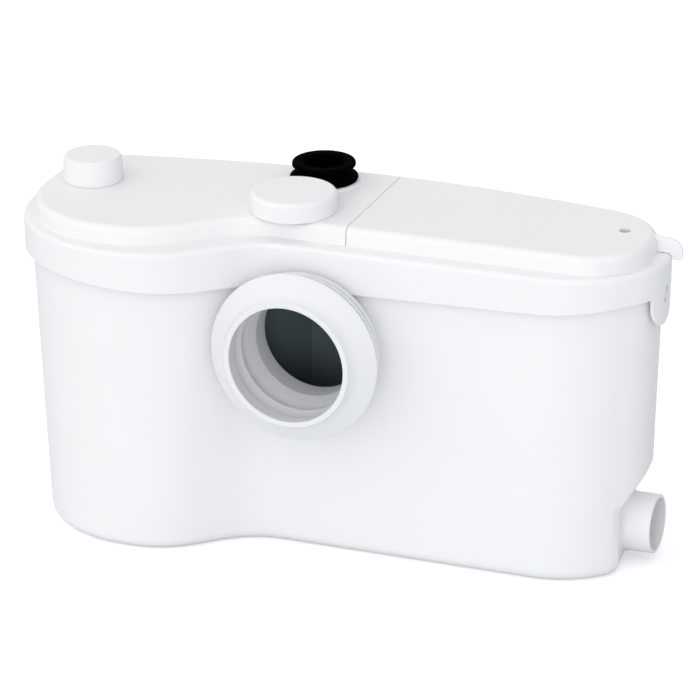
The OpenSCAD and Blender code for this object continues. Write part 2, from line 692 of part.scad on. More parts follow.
module pump_volute() {
    color([0.25, 0.27, 0.3]) difference() {
        union() {
            along_x(volute_x, motor_y, motor_z)
                cylinder(r = volute_r + volute_wall, h = volute_in + 2 * volute_wall);
            along_front(outlet_x, out_y - bend_r, outlet_z) cylinder(r = pipe_r, h = out_y - bend_r - motor_y);
        }
        along_x(volute_x + volute_wall, motor_y, motor_z) cylinder(r = volute_r, h = volute_in);
        along_x(volute_x - 1, motor_y, motor_z) cylinder(r = suction_r, h = 10);
        along_x(volute_x, motor_y, motor_z) cylinder(r = shaft_r + 1, h = 60);
        along_front(outlet_x, out_y - bend_r + 1, outlet_z)
            cylinder(r = pipe_r - pipe_wall, h = out_y - bend_r - motor_y + 1);
    }
}

module impeller() {
    hub = volute_in - 4;
    color([0.3, 0.3, 0.32]) along_x(volute_x + volute_wall + 2, motor_y, motor_z) difference() {
        union() {
            translate([0, 0, hub - 3]) cylinder(r = impeller_r, h = 3);
            cylinder(r = shaft_r + 4, h = hub);
            for (k = [0:vanes - 1]) rotate(k * 360 / vanes)
                translate([shaft_r + 2, 4, 1]) rotate(-22) cube([impeller_r * 0.72, 2.4, hub - 2]);
        }
        translate([0, 0, -1]) cylinder(r = shaft_r, h = 60);
        difference() {
            translate([0, 0, -1]) cylinder(r = impeller_r + 20, h = 60);
            translate([0, 0, -2]) cylinder(r = impeller_r, h = 62);
        }
    }
}

module shaft_seal() {
    color("black") along_x(volute_x + volute_in + 2 * volute_wall, motor_y, motor_z) difference() {
        cylinder(r = 13, h = motor_x - volute_x - volute_in - 2 * volute_wall);
        translate([0, 0, -1]) cylinder(r = shaft_r + shaft_gap, h = 20);
    }
}

// Motor: sealed can with a bearing at each end, stator with windings, rotor and shaft
can_wall = 2;
bearing_r = 13;
bearing_w = 9;
front_bearing_x = motor_x + 4;
motor_end = motor_x + motor_len;
rear_bearing_x = motor_end - bearing_w - 4;
stack_x = motor_x + 30;
stack_len = motor_len - 51;
rotor_r = 21;
air_gap = 0.5;

module motor_can() {
    color("silver") difference() {
        union() {
            along_x(motor_x, motor_y, motor_z) tube(motor_r, can_wall, motor_len);
            along_x(motor_x, motor_y, motor_z) cylinder(r = motor_r, h = 4);
            along_x(motor_x, motor_y, motor_z) cylinder(r = bearing_r + 3, h = 4 + bearing_w);
        }
        along_x(front_bearing_x, motor_y, motor_z) cylinder(r = bearing_r, h = 40);
        along_x(motor_x - 1, motor_y, motor_z) cylinder(r = shaft_r + 1, h = 40);
    }
}

module motor_end_cap() {
    color("gray") difference() {
        union() {
            along_x(motor_end, motor_y, motor_z) cylinder(r = motor_r, h = 4);
            along_x(rear_bearing_x, motor_y, motor_z)
                cylinder(r = bearing_r + 3, h = motor_end - rear_bearing_x + 1);
        }
        along_x(rear_bearing_x - 1, motor_y, motor_z) cylinder(r = bearing_r, h = bearing_w + 1);
        along_x(rear_bearing_x - 1, motor_y, motor_z) cylinder(r = shaft_r + 1, h = bearing_w + 4);
    }
}

module bearing() {
    difference() {
        cylinder(r = bearing_r, h = bearing_w);
        translate([0, 0, -1]) cylinder(r = shaft_r + shaft_gap, h = bearing_w + 2);
        for (z = [-1, bearing_w - 1]) translate([0, 0, z]) tube(bearing_r - 2.5, 2, 2);
    }
}
module front_bearing() { color("silver") along_x(front_bearing_x, motor_y, motor_z) bearing(); }
module rear_bearing() { color("silver") along_x(rear_bearing_x, motor_y, motor_z) bearing(); }

module stator() {
    color("dimgray") along_x(stack_x, motor_y, motor_z) difference() {
        cylinder(r = motor_r - can_wall, h = stack_len);
        translate([0, 0, -1]) cylinder(r = rotor_r + air_gap, h = stack_len + 2);
        for (a = [0:30:330]) rotate(a) translate([rotor_r + 5.5, 0, -1]) cylinder(r = 2.6, h = stack_len + 2);
    }
}

module windings() {
    color("peru") difference() {
        for (x = [stack_x - 11, stack_x + stack_len]) along_x(x, motor_y, motor_z)
            tube(rotor_r + 9, 8, 11);
        along_x(stack_x - 20, motor_y, motor_z) cylinder(r = rotor_r + 1, h = 100);
    }
}

module motor_rotor() {
    color("gray") along_x(stack_x - 2, motor_y, motor_z) tube(rotor_r, rotor_r - shaft_r, stack_len + 4);
}

module motor_shaft() {
    first = chamber_x - cutter_len - 8;
    color("silver") along_x(first, motor_y, motor_z)
        cylinder(r = shaft_r, h = rear_bearing_x + bearing_w + 1 - first);
}

module motor_cradle() {
    color([0.25, 0.27, 0.3]) difference() {
        for (x = [motor_x + 14, motor_x + motor_len - 40])
            translate([x, motor_y - 26, tank_wall]) cube([14, 52, motor_z - tank_wall - 18]);
        along_x(motor_x - 20, motor_y, motor_z) cylinder(r = motor_r, h = motor_len + 40);
        for (x = [motor_x + 13, motor_x + motor_len - 41])
            along_x(x, motor_y, motor_z - motor_r - 44) cylinder(r = 17, h = 16);
    }
}

// Discharge: elbow from the pump, riser, level run with the non-return valve, elbow into the connector
run_z = 232.5;
riser_x = outlet_x;
valve_len = 34;
valve_x = 12;
valve_r = 18.4;
valve_wall = 2;
pipe_top = top_z - 4;

module pipe_bend() {
    rotate_extrude(angle = 90) translate([bend_r, 0]) difference() {
        circle(r = pipe_r);
        circle(r = pipe_r - pipe_wall);
    }
}

module discharge_pipe() {
    color("white") {
        translate([riser_x, out_y - bend_r, outlet_z + bend_r]) rotate([0, 90, 0]) pipe_bend();
        translate([riser_x, out_y, outlet_z + bend_r])
            tube(pipe_r, pipe_wall, run_z - outlet_z - 2 * bend_r);
        translate([riser_x - bend_r, out_y, run_z - bend_r]) rotate([90, 0, 0]) pipe_bend();
        along_x(valve_x + valve_len, out_y, run_z)
            tube(pipe_r, pipe_wall, riser_x - bend_r - valve_x - valve_len);
        along_x(out_x + bend_r, out_y, run_z) tube(pipe_r, pipe_wall, valve_x - out_x - bend_r);
        translate([out_x + bend_r, out_y, run_z + bend_r]) rotate([90, 180, 0]) pipe_bend();
        translate([out_x, out_y, run_z + bend_r]) tube(pipe_r, pipe_wall, pipe_top - run_z - bend_r);
    }
}

flap_r = 14.5;
flap_t = 2;
flap_x = valve_x + valve_len - 3.5 - 0.3 - flap_t;
flap_z = run_z + flap_r - 0.5;
flap_pin_r = 1.2;

module valve_body() {
    color([0.25, 0.27, 0.3]) difference() {
        along_x(valve_x, out_y, run_z) cylinder(r = valve_r, h = valve_len);
        along_x(valve_x + 2.5, out_y, run_z) cylinder(r = valve_r - valve_wall, h = valve_len - 6);
        along_x(valve_x - 1, out_y, run_z) cylinder(r = pipe_r - pipe_wall, h = valve_len + 2);
        translate([flap_x, out_y, flap_z]) rotate([90, 0, 0])
            cylinder(r = flap_pin_r + shaft_gap, h = 2 * valve_r, center = true);
    }
}

module valve_flap() {
    color("black") {
        along_x(flap_x, out_y, run_z) cylinder(r = flap_r, h = flap_t);
        translate([flap_x, out_y, flap_z]) rotate([90, 0, 0]) cylinder(r = flap_pin_r, h = 24, center = true);
    }
}

// Side inlet flap: hangs on a pin between two ears over the inner end of the spigot
side_r = spigot_r - 1;
side_x = spigot_in - 0.4 - flap_t;
side_pin_z = spigot_z + spigot_r + 3;
ear_gap = 18;

module flap_ears() {
    for (s = [-1, 1]) translate([0, spigot_y + s * (ear_gap / 2 + 1.5) - 1.5, side_pin_z]) {
        translate([side_x - 3, 0, -3.5]) cube([spigot_in + 8 - side_x, 3, 7.5]);
        translate([spigot_in, 0, -8]) cube([5, 3, 6]);
    }
}

module flap_pin(r, h) {
    along_front(side_x + flap_t / 2, spigot_y + h / 2, side_pin_z) cylinder(r = r, h = h);
}

module side_inlet_flap() {
    color("black") union() {
        along_x(side_x, spigot_y, spigot_z) cylinder(r = side_r, h = flap_t);
        translate([side_x, spigot_y - ear_gap / 2 + 0.5, spigot_z + side_r - 4])
            cube([flap_t, ear_gap - 1, side_pin_z - spigot_z - side_r + 4]);
        flap_pin(flap_pin_r, ear_gap + 6);
    }
}

// Level switch: air trapped in the dip tube lifts a membrane, which pushes the plunger into the switch
switch_low = membrane_z + 12;
switch_top = 248;
plunger_r = 3.5;
plunger_top = switch_low + 8.6;

module pressure_chamber() {
    color([0.25, 0.27, 0.3]) translate([level_x, level_y, 0]) difference() {
        union() {
            translate([0, 0, 24]) cylinder(r = dip_r, h = membrane_z - 36);
            translate([0, 0, membrane_z - 13]) cylinder(r = membrane_r, h = 13);
        }
        translate([0, 0, 20]) cylinder(r = dip_r - 2.5, h = membrane_z - 26);
        translate([0, 0, membrane_z - 10]) cylinder(r = membrane_r - 3, h = 20);
    }
}

module membrane() {
    color("black") translate([level_x, level_y, membrane_z]) rotate_extrude() polygon([
        [0, 0], [14, 0], [17, -2], [22, -2], [25, 0], [membrane_r, 0],
        [membrane_r, 1.5], [24, 1.5], [21.5, -0.5], [17.5, -0.5], [14.5, 1.5], [0, 1.5]]);
}

module membrane_cover() {
    color([0.25, 0.27, 0.3]) translate([level_x, level_y, membrane_z + 1.5]) difference() {
        cylinder(r = membrane_r, h = switch_low - membrane_z - 1.5);
        translate([0, 0, -3]) cylinder(r = membrane_r - 3, h = switch_low - membrane_z - 1.5);
        cylinder(r = plunger_r + shaft_gap, h = 40);
    }
}

module switch_plunger() {
    color("ivory") translate([level_x, level_y, membrane_z + 1.6]) {
        cylinder(r = 12, h = 2);
        translate([0, 0, 1]) cylinder(r = plunger_r, h = plunger_top - membrane_z - 2.6);
    }
}

switch_z = plunger_top + plunger_stroke + 0.4;

module microswitch() {
    color([0.1, 0.1, 0.12]) translate([level_x - 14, level_y - 6, switch_z]) difference() {
        cube([28, 12, switch_top - 2.5 - switch_z]);
        for (x = [4, 24]) translate([x, -1, 5]) rotate([-90, 0, 0]) cylinder(r = 1.4, h = 14);
    }
}

module switch_housing() {
    color([0.25, 0.27, 0.3]) translate([level_x - 30, level_y - 25, switch_low]) difference() {
        cube([60, 50, switch_top - switch_low]);
        translate([2.5, 2.5, -1]) cube([55, 45, switch_top - switch_low - 1.5]);
    }
}

// Electrics: a closed box on the motor with the capacitor and the terminal block
box_x = motor_x + 13;
box_y = -44;
box_w = motor_len - 7;
box_d = 70;
box_z = motor_z + motor_r + 3;
box_h = 40;
box_wall = 2.5;
// capacitor and terminal block stand side by side, each with room to the walls of the box
capacitor_r = 16;
capacitor_len = box_w - 38;
block_w = 54;
block_d = 18;
block_h = 16;
box_room = 3;

module electrics_box() {
    color("whitesmoke") difference() {
        union() {
            translate([box_x, box_y, box_z]) cube([box_w, box_d, box_h]);
            for (x = [box_x + 6, box_x + box_w - 18])
                translate([x, motor_y - 20, motor_z + motor_r - 8]) cube([12, 40, 12]);
        }
        translate([box_x + box_wall, box_y + box_wall, box_z + box_wall])
            cube([box_w - 2 * box_wall, box_d - 2 * box_wall, box_h]);
        along_x(motor_x - 20, motor_y, motor_z) cylinder(r = motor_r, h = motor_len + 40);
    }
}

module electrics_lid() {
    color("whitesmoke") translate([box_x, box_y, box_z + box_h]) union() {
        cube([box_w, box_d, 3]);
        difference() {
            translate([box_wall + 0.2, box_wall + 0.2, -3])
                cube([box_w - 2 * box_wall - 0.4, box_d - 2 * box_wall - 0.4, 4]);
            translate([box_wall + 2.2, box_wall + 2.2, -4])
                cube([box_w - 2 * box_wall - 4.4, box_d - 2 * box_wall - 4.4, 4]);
        }
    }
}

module capacitor() {
    y = box_y + box_wall + capacitor_r + 2.5;
    z = box_z + box_wall + capacitor_r;
    color("lightgray") union() {
        along_x(box_x + 12, y, z) cylinder(r = capacitor_r, h = capacitor_len);
        along_x(box_x + 12 + capacitor_len, y, z) cylinder(r = 5, h = 6);
    }
}

module terminal_block() {
    y = box_y + box_d - box_wall - box_room - block_d;
    color("ivory") translate([box_x + 20, y, box_z + box_wall]) difference() {
        cube([block_w, block_d, block_h]);
        for (k = [0:4]) translate([7 + 10 * k, block_d / 2, 4]) cylinder(r = 3, h = block_h);
        for (k = [0:3]) translate([11 + 10 * k, -1, 10]) cube([2, block_d + 2, block_h]);
    }
}

// Cable gland in the back wall, closed: a flanged body outside and a nut inside
function wall_back_y(x, z) =
    let (r = tank_ring(z, 0),
        hit = [for (i = [0:len(r) - 1])
            let (p = r[i], q = r[(i + 1) % len(r)])
            if (p[1] > 0 && p[0] >= x && q[0] < x) p[1] + (q[1] - p[1]) * (p[0] - x) / (p[0] - q[0])])
    hit[0];
gland_y = wall_back_y(gland_x, gland_z);

module cable_gland() {
    color("black") along_front(gland_x, gland_y + 14, gland_z) difference() {
        union() {
            cylinder(r = gland_r - 0.2, h = 26);
            translate([0, 0, 4]) cylinder(r = 11.5, h = 8, $fn = 6);
            translate([0, 0, 20]) cylinder(r = 11.5, h = 5, $fn = 6);
        }
        translate([0, 0, -1]) cylinder(r = 4, h = 28);
    }
}

tank();
lid();
lid_gasket();
service_cover();
cover_screw();
left_cap();
left_cap_seal();
inspection_cap();
inspection_cap_seal();
discharge_connector();
inlet_sleeve();
grinder_chamber();
chamber_cover();
cutter_ring();
grinder_rotor();
impeller();
pump_volute();
shaft_seal();
motor_shaft();
motor_rotor();
stator();
windings();
motor_can();
motor_end_cap();
front_bearing();
rear_bearing();
motor_cradle();
discharge_pipe();
valve_body();
valve_flap();
side_inlet_flap();
pressure_chamber();
membrane();
membrane_cover();
switch_plunger();
microswitch();
switch_housing();
electrics_box();
electrics_lid();
capacitor();
terminal_block();
cable_gland();
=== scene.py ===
import math
import bmesh
import bpy
from mathutils import Matrix, Vector


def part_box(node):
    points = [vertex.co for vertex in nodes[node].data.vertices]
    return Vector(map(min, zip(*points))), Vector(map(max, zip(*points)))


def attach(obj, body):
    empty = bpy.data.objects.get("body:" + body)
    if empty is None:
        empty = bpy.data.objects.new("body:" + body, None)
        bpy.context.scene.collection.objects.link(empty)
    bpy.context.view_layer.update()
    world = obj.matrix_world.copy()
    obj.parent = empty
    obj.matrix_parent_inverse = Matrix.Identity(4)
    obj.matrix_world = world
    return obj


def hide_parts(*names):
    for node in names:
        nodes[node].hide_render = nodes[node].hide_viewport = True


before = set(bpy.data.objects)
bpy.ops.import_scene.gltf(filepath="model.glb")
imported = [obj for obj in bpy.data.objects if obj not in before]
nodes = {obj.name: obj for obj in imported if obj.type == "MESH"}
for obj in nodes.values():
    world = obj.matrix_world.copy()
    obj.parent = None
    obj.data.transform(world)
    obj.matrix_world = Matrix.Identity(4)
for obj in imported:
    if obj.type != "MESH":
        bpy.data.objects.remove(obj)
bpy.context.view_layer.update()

# Tank
# The lower shell of the case, one injection moulding in white polypropylene. Its wall waves from a round lobe
# through a dip to a straight wing, has draft, and is scooped out at the low right end round the side spigot.


def linear(colour):
    """An sRGB hex colour as linear RGBA."""
    parts = [int(colour[i:i + 2], 16) / 255 for i in (1, 3, 5)]
    return [c / 12.92 if c <= 0.04045 else ((c + 0.055) / 1.055) ** 2.4 for c in parts] + [1.0]


def add(tree, kind, attributes, sockets):
    """Adds a shader node, sets its attributes, and gives each socket a value or a link."""
    node = tree.nodes.new(kind)
    for key, value in attributes.items():
        setattr(node, key, value)
    for key, value in sockets.items():
        if isinstance(value, bpy.types.NodeSocket):
            tree.links.new(value, node.inputs[key])
        else:
            node.inputs[key].default_value = value
    return node


def empty_tree(owner):
    """The node tree of a new material or world, with nothing in it."""
    owner.use_nodes = True
    owner.node_tree.nodes.clear()
    return owner.node_tree


def moulded(name, light, dark, roughness, ior, shine, grain_mm, depth_mm):
    """A moulding: its tone drifts a little over the wall, and the tool's grain breaks up the gloss."""
    drift_mm = 90
    gloss_spread = 0.05
    material = bpy.data.materials.new(name)
    tree = empty_tree(material)
    place = add(tree, "ShaderNodeTexCoord", {}, {})
    flow = add(tree, "ShaderNodeTexNoise", {}, {
        "Vector": place.outputs["Object"], "Scale": 1000 / drift_mm, "Detail": 2.0})
    tone = add(tree, "ShaderNodeMix", {"data_type": "RGBA"}, {
        0: flow.outputs["Fac"], 6: linear(dark), 7: linear(light)})
    grain = add(tree, "ShaderNodeTexNoise", {}, {
        "Vector": place.outputs["Object"], "Scale": 1000 / grain_mm, "Detail": 3.0, "Roughness": 0.6})
    sheen = add(tree, "ShaderNodeMapRange", {}, {
        "Value": grain.outputs["Fac"], "To Min": roughness - gloss_spread, "To Max": roughness + gloss_spread})
    relief = add(tree, "ShaderNodeBump", {}, {
        "Height": grain.outputs["Fac"], "Strength": 0.35, "Distance": depth_mm / 1000})
    surface = add(tree, "ShaderNodeBsdfPrincipled", {}, {
        "Base Color": tone.outputs[2], "Roughness": sheen.outputs["Result"], "IOR": ior,
        "Specular IOR Level": shine, "Normal": relief.outputs["Normal"]})
    add(tree, "ShaderNodeOutputMaterial", {}, {"Surface": surface.outputs["BSDF"]})
    return material


# Polypropylene from a finely spark-eroded tool: bright cool white with a soft, slightly broken gloss.
# The real grain is about 0.1 mm; it is drawn at 1.1 mm so that it still breaks the highlights.
polypropylene = moulded(
    "white_polypropylene_moulded", "#F2F2F3", "#EEEFF0",
    roughness=0.42, ior=1.49, shine=0.3, grain_mm=1.1, depth_mm=0.02)


def corner_points(plan, i, steps):
    """One rounded corner of a closed plan: points with their outward normals, (x, y, nx, ny)."""
    p = Vector(plan[i][:2])
    a = Vector(plan[i - 1][:2])
    b = Vector(plan[(i + 1) % len(plan)][:2])
    r = plan[i][2]
    if r < 1e-6:
        return [(p.x, p.y, 0.0, 0.0)]
    u = (a - p).normalized()
    v = (b - p).normalized()
    half = u.angle(v) / 2
    along = p - a
    onward = b - p
    turn = 1 if along.x * onward.y - along.y * onward.x > 0 else -1
    centre = p + (u + v).normalized() * r / math.sin(half)
    start = p + u * r / math.tan(half) - centre
    first = math.atan2(start.y, start.x)
    sweep = turn * (math.pi - 2 * half)
    angles = [first + sweep * k / steps for k in range(steps + 1)]
    return [(centre.x + r * math.cos(q), centre.y + r * math.sin(q), turn * math.cos(q), turn * math.sin(q))
            for q in angles]


def outline(plan, steps):
    """A closed plan of corners (x, y, rounding) as points with their outward normals."""
    return [point for i in range(len(plan)) for point in corner_points(plan, i, steps)]


def ring(points, inset, z):
    """A level ring at a height, set in from the outline."""
    return [Vector((x - inset * nx, y - inset * ny, z)) for x, y, nx, ny in points]


def link(name, data):
    """A new object in the scene."""
    thing = bpy.data.objects.new(name, data)
    bpy.context.scene.collection.objects.link(thing)
    return thing


def settle(name, shape):
    """Turns a built shape into an object in the scene."""
    mesh = bpy.data.meshes.new(name)
    shape.to_mesh(mesh)
    shape.free()
    return link(name, mesh)


def loft(name, rings):
    """A closed shell through rings of equal length, in millimetres, with a flat face in the first and last ring."""
    shape = bmesh.new()
    rows = [[shape.verts.new(point / 1000) for point in points] for points in rings]
    count = len(rows[0])
    for low, high in zip(rows, rows[1:]):
        for i in range(count):
            k = (i + 1) % count
            shape.faces.new((low[i], low[k], high[k], high[i]))
    shape.faces.new(rows[0][::-1])
    shape.faces.new(rows[-1])
    bmesh.ops.recalc_face_normals(shape, faces=shape.faces)
    return settle(name, shape)


TO_X = Matrix.Rotation(math.radians(90), 4, "Y")
TO_FRONT = Matrix.Rotation(math.radians(90), 4, "X")
UPRIGHT = Matrix.Identity(4)


def rod(place, turn, r, length):
    """A round bar that starts at place and runs along the turned Z axis."""
    shape = bmesh.new()
    bmesh.ops.create_cone(
        shape, cap_ends=True, segments=128, radius1=r / 1000, radius2=r / 1000, depth=length / 1000)
    shape.transform(Matrix.Translation(Vector(place) / 1000) @ turn @ Matrix.Translation((0, 0, length / 2000)))
    return settle("rod", shape)


def lathe(name, profile, place, turn, steps):
    """A turned piece from a closed profile of (radius, height) points; points on the axis close it."""
    shape = bmesh.new()
    angles = [2 * math.pi * k / steps for k in range(steps)]
    rows = []
    for r, h in profile:
        if r < 1e-6:
            rows.append([shape.verts.new((0, 0, h / 1000))])
        else:
            rows.append([
                shape.verts.new((r * math.cos(a) / 1000, r * math.sin(a) / 1000, h / 1000)) for a in angles])
    for low, high in zip(rows, rows[1:] + rows[:1]):
        for k in range(steps):
            n = (k + 1) % steps
            corners = [low[k % len(low)], low[n % len(low)], high[n % len(high)], high[k % len(high)]]
            unique = list(dict.fromkeys(corners))
            if len(unique) > 2:
                shape.faces.new(unique)
    bmesh.ops.recalc_face_normals(shape, faces=shape.faces)
    shape.transform(Matrix.Translation(Vector(place) / 1000) @ turn)
    return settle(name, shape)


def rounded_profile(corners, steps):
    """A profile of corners, each with its rounding, as plain points."""
    return [(x, y) for x, y, nx, ny in outline(corners, steps)]


def combine(piece, operation, tools):
    """Joins tools to a piece, or cuts them out of it, for good."""
    for tool in tools:
        step = piece.modifiers.new("step", "BOOLEAN")
        step.operation = operation
        step.solver = "EXACT"
        step.object = tool
        seen = piece.evaluated_get(bpy.context.evaluated_depsgraph_get())
        mesh = bpy.data.meshes.new_from_object(seen)
        piece.modifiers.clear()
        piece.data = mesh
        bpy.data.objects.remove(tool, do_unlink=True)


def dress(piece, material, body, slot, *stands_for):
    """Smooth faces with true edges, one material, and the piece's place in the frame."""
    piece.data.materials.clear()
    piece.data.materials.append(material)
    for face in piece.data.polygons:
        face.use_smooth = True
        face.material_index = 0
    piece.data.set_sharp_from_angle(angle=math.radians(32))
    even = piece.modifiers.new("even_normals", "WEIGHTED_NORMAL")
    even.keep_sharp = True
    even.weight = 90  # large faces lead, so flat walls stay flat up to their rounded edges
    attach(piece, body)
    if stands_for:
        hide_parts(*stands_for)


def soft_min(a, b, k):
    """The smaller of two values, with the corner between them rounded over a width of k."""
    h = max(k - abs(a - b), 0) / k
    return min(a, b) - h * h * k / 4


def quarter(steps):
    """Angles over a quarter turn."""
    return [math.radians(90) * k / steps for k in range(steps + 1)]


lid_low, lid_high = [corner * 1000 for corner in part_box("lid")]
tank_top = 255.5
tank_wall = 3.0
floor_round = 10.0
overhang = 5.5
draft = 13.5
inlet_z = 180.0
collar_r, collar_wall, collar_length = 57.0, 3.5, 34.0
wing_y = -61.0
wing_wall_y = wing_y + overhang
back_y = 113.5
lid_plan = [
    (lid_low.x, lid_low.y, 104), (-104.8, lid_low.y, 90), (-39.8, wing_y, 48.5), (229.7, wing_y, 84),
    (lid_high.x, -13.5, 56), (lid_high.x, 71.5, 68), (2.2, back_y, 1000), (lid_low.x, 62, 63)]
base_plan = [
    (lid_low.x + draft, lid_low.y + draft, 90.5), (-110.3, lid_low.y + draft, 76.5), (-51.3, wing_y + 7.5, 62),
    (218.2, wing_y + 7.5, 80), (lid_high.x - draft, -8, 42.5), (lid_high.x - draft, 60, 54.5),
    (2.2, back_y - draft, 986.5), (lid_low.x + draft, 51.5, 49.5)]
lid_points = outline(lid_plan, 40)
base_points = outline(base_plan, 40)
rim_points = [(x - overhang * nx, y - overhang * ny, nx, ny) for x, y, nx, ny in lid_points]
niche_x, niche_y, niche_turn = 245.7, -23.0, math.radians(7)
ceiling_z, ceiling_slope = 57.0, 0.75
niche_round = 1.6


def niche_limit(y, z):
    """Reach of the wall where the niche cuts it: a turned upright plane under a sloping ceiling."""
    return niche_x - math.tan(niche_turn) * (y - niche_y) + max(0.0, z - ceiling_z) * ceiling_slope


def tank_ring(z, inset):
    """The wall at a height, between the floor plan and the rim plan, cut by the niche."""
    t = max(0.0, (z - floor_round) / (tank_top - floor_round))
    points = []
    for b, r in zip(base_points, rim_points):
        x, y, nx, ny = [b[i] + (r[i] - b[i]) * t for i in range(4)]
        y -= inset * ny
        points.append(Vector((soft_min(x - inset * nx, niche_limit(y, z) - inset, niche_round), y, z)))
    return points


def tank_side(wall):
    """Rings from the floor to the rim, on a wall set in by that much, close together at the niche's ceiling."""
    r = floor_round - wall
    rounding = [tank_ring(wall + r * (1 - math.cos(a)), wall + r * (1 - math.sin(a))) for a in quarter(10)]
    heights = [20, 32, 44, 50] + [54 + 2.5 * k for k in range(20)] + [125, 155, 185, 215, 240, tank_top]
    return rounding + [tank_ring(z, wall) for z in heights]


tank = loft("tank_shell", tank_side(0.0) + tank_side(tank_wall)[::-1])
spigot_y, spigot_z, spigot_r, spigot_wall = 20.0, 30.5, 23.8, 2.5
spigot_start, spigot_end, hose_grip = 228.4, 265.4, 21.5
spigot_length = spigot_end - spigot_start
shoulder_r, shoulder_end = spigot_r + 0.8, spigot_length - hose_grip
spigot_root = [
    (0, 0, 0), (shoulder_r, 0, 0), (shoulder_r, shoulder_end, 0.5), (spigot_r, shoulder_end, 0),
    (spigot_r, spigot_length, 0.7), (0, spigot_length, 0)]
clip_y, clip_z, clip_r, clip_length = 10.5, 232.0, 6.8, 8.0
clip_nub = [(0, 0, 0), (clip_r, 0, 0), (clip_r - 1.5, clip_length, 1.4), (0, clip_length, 0)]
gland_x, gland_z, gland_r = 110.0, 215.0, 8.0
ear_room, ear_thick = 18.0, 3.0
pin_x, pin_z, pin_hole_r = spigot_start - 1.4, spigot_z + spigot_r + 3, 1.25


def flap_ear(y):
    """One of the two ears on the spigot's inner end that carry the pin of the side flap."""
    corners = [
        (pin_x - 4, pin_z - 3.5), (spigot_start, pin_z - 3.5), (spigot_start, pin_z - 8),
        (spigot_start + 5, pin_z - 8), (spigot_start + 5, pin_z + 4), (pin_x - 4, pin_z + 4)]
    return loft("ear", [[Vector((x, y + side, z)) for x, z in corners] for side in (0, ear_thick)])


combine(tank, "UNION", [
    flap_ear(spigot_y + ear_room / 2), flap_ear(spigot_y - ear_room / 2 - ear_thick),
    rod((0, wing_wall_y + 4, inlet_z), TO_FRONT, collar_r, collar_length),
    lathe("spigot", rounded_profile(spigot_root, 5), (spigot_start, spigot_y, spigot_z), TO_X, 160),
    lathe("nub", rounded_profile(clip_nub, 6), (lid_high.x - 9.5, clip_y, clip_z), TO_X, 96)])
combine(tank, "DIFFERENCE", [
    rod((0, wing_wall_y + 8, inlet_z), TO_FRONT, collar_r - collar_wall, collar_length + 16),
    rod((spigot_start - 5, spigot_y, spigot_z), TO_X, spigot_r - spigot_wall, 80),
    rod((gland_x, back_y + 6.5, gland_z), TO_FRONT, gland_r, 60),
    rod((pin_x, spigot_y + ear_room / 2 + 10, pin_z), TO_FRONT, pin_hole_r, ear_room + 20)])
dress(tank, polypropylene, "case", "case_white", "tank")

# Lid
# One white polypropylene moulding that drops over the tank: a skirt with an arched lower edge, a rounded rim,
# a ledge, and the raised left part. It carries the necks under the caps and a tongue that clips to the tank.
deck_z = 260.5
top_z = 275.0
lid_wall = 3.0
rim_round = 4.0
top_round = 6.0
split_x = 27.2
split_gap = 0.6
ledge_front, ledge_end = 14.0, 9.7
top_plan = [
    (lid_low.x + ledge_end, lid_low.y + ledge_front, 83), (-118.3, lid_low.y + ledge_front, 92),
    (-53.3, wing_y + ledge_front, 62.5), (226.2, wing_y + ledge_front, 34),
    (lid_high.x - ledge_end, -23.5, 50), (lid_high.x - ledge_end, 61.8, 58.3),
    (5.7, 98.5, 1000), (lid_low.x + ledge_end, 52.3, 53.3)]
top_points = outline(top_plan, 40)
tongue_y, tongue_half, tongue_low, tongue_notch = 6.0, 18.5, 208.5, 4.0
tongue_from_x, tongue_step = 230.0, 0.4


def near_tongue(points):
    """How many points to add after each point of the outline, so that the tongue's edge is drawn finely."""
    extra = []
    for p, q in zip(points, points[1:] + points[:1]):
        close = min(p[0], q[0]) > tongue_from_x and abs(p[1] - tongue_y) < tongue_half + 2 * tongue_notch
        extra.append(int(math.dist(p[:2], q[:2]) / tongue_step) if close else 0)
    return extra


def spread(points, extra):
    """The outline with that many points added evenly after each of its points."""
    finer = []
    for p, q, n in zip(points, points[1:] + points[:1], extra):
        finer += [tuple(p[i] + (q[i] - p[i]) * k / (n + 1) for i in range(4)) for k in range(n + 1)]
    return finer


skirt_points = spread(lid_points, near_tongue(lid_points))
ledge_points = spread(top_points, near_tongue(lid_points))
skirt_low, skirt_low_x, arch_reach, arch_most = 224.0, 28.7, 200.0, 1.1
rise_left, rise_right = 7.0, 9.0


def skirt_edge(x, y):
    """Height of the skirt's lower edge: a shallow arch, and a round tongue with hollow corners at the right end."""
    rise = rise_right if x > skirt_low_x else rise_left
    edge = skirt_low + rise * min(abs(x - skirt_low_x) / arch_reach, arch_most) ** 2
    s = abs(y - tongue_y)
    if x < tongue_from_x or s >= tongue_half + tongue_notch:
        return edge
    if s < tongue_half:
        return tongue_low + tongue_half - math.sqrt(tongue_half ** 2 - s ** 2)
    return edge - tongue_notch + math.sqrt(tongue_notch ** 2 - (tongue_half + tongue_notch - s) ** 2)


def skirt_ring(inset, lift):
    """A ring along the skirt's lower edge, set in from the skirt and lifted from the edge."""
    return [Vector((x - inset * nx, y - inset * ny, skirt_edge(x, y) + lift)) for x, y, nx, ny in skirt_points]


foot_inset, foot_cove, wall_inset = 0.2, 1.2, 1.6


def raised_top():
    """Insets and heights of the raised top from its foot: a small cove, a steep wall, and a rounded edge."""
    cove = [(foot_inset + foot_cove * math.sin(a), deck_z + foot_cove * (1 - math.cos(a))) for a in quarter(3)]
    edge = [(wall_inset + top_round * (1 - math.cos(a)), top_z - top_round * (1 - math.sin(a))) for a in quarter(8)]
    return cove + edge


def hollow_top(foot_z):
    """Insets and heights of the hollow in the raised top, from its ceiling down to its foot."""
    ceiling = top_z - lid_wall
    return [(top_round + 2.6, ceiling), (4.6, ceiling - 3), (4.4, foot_z)]


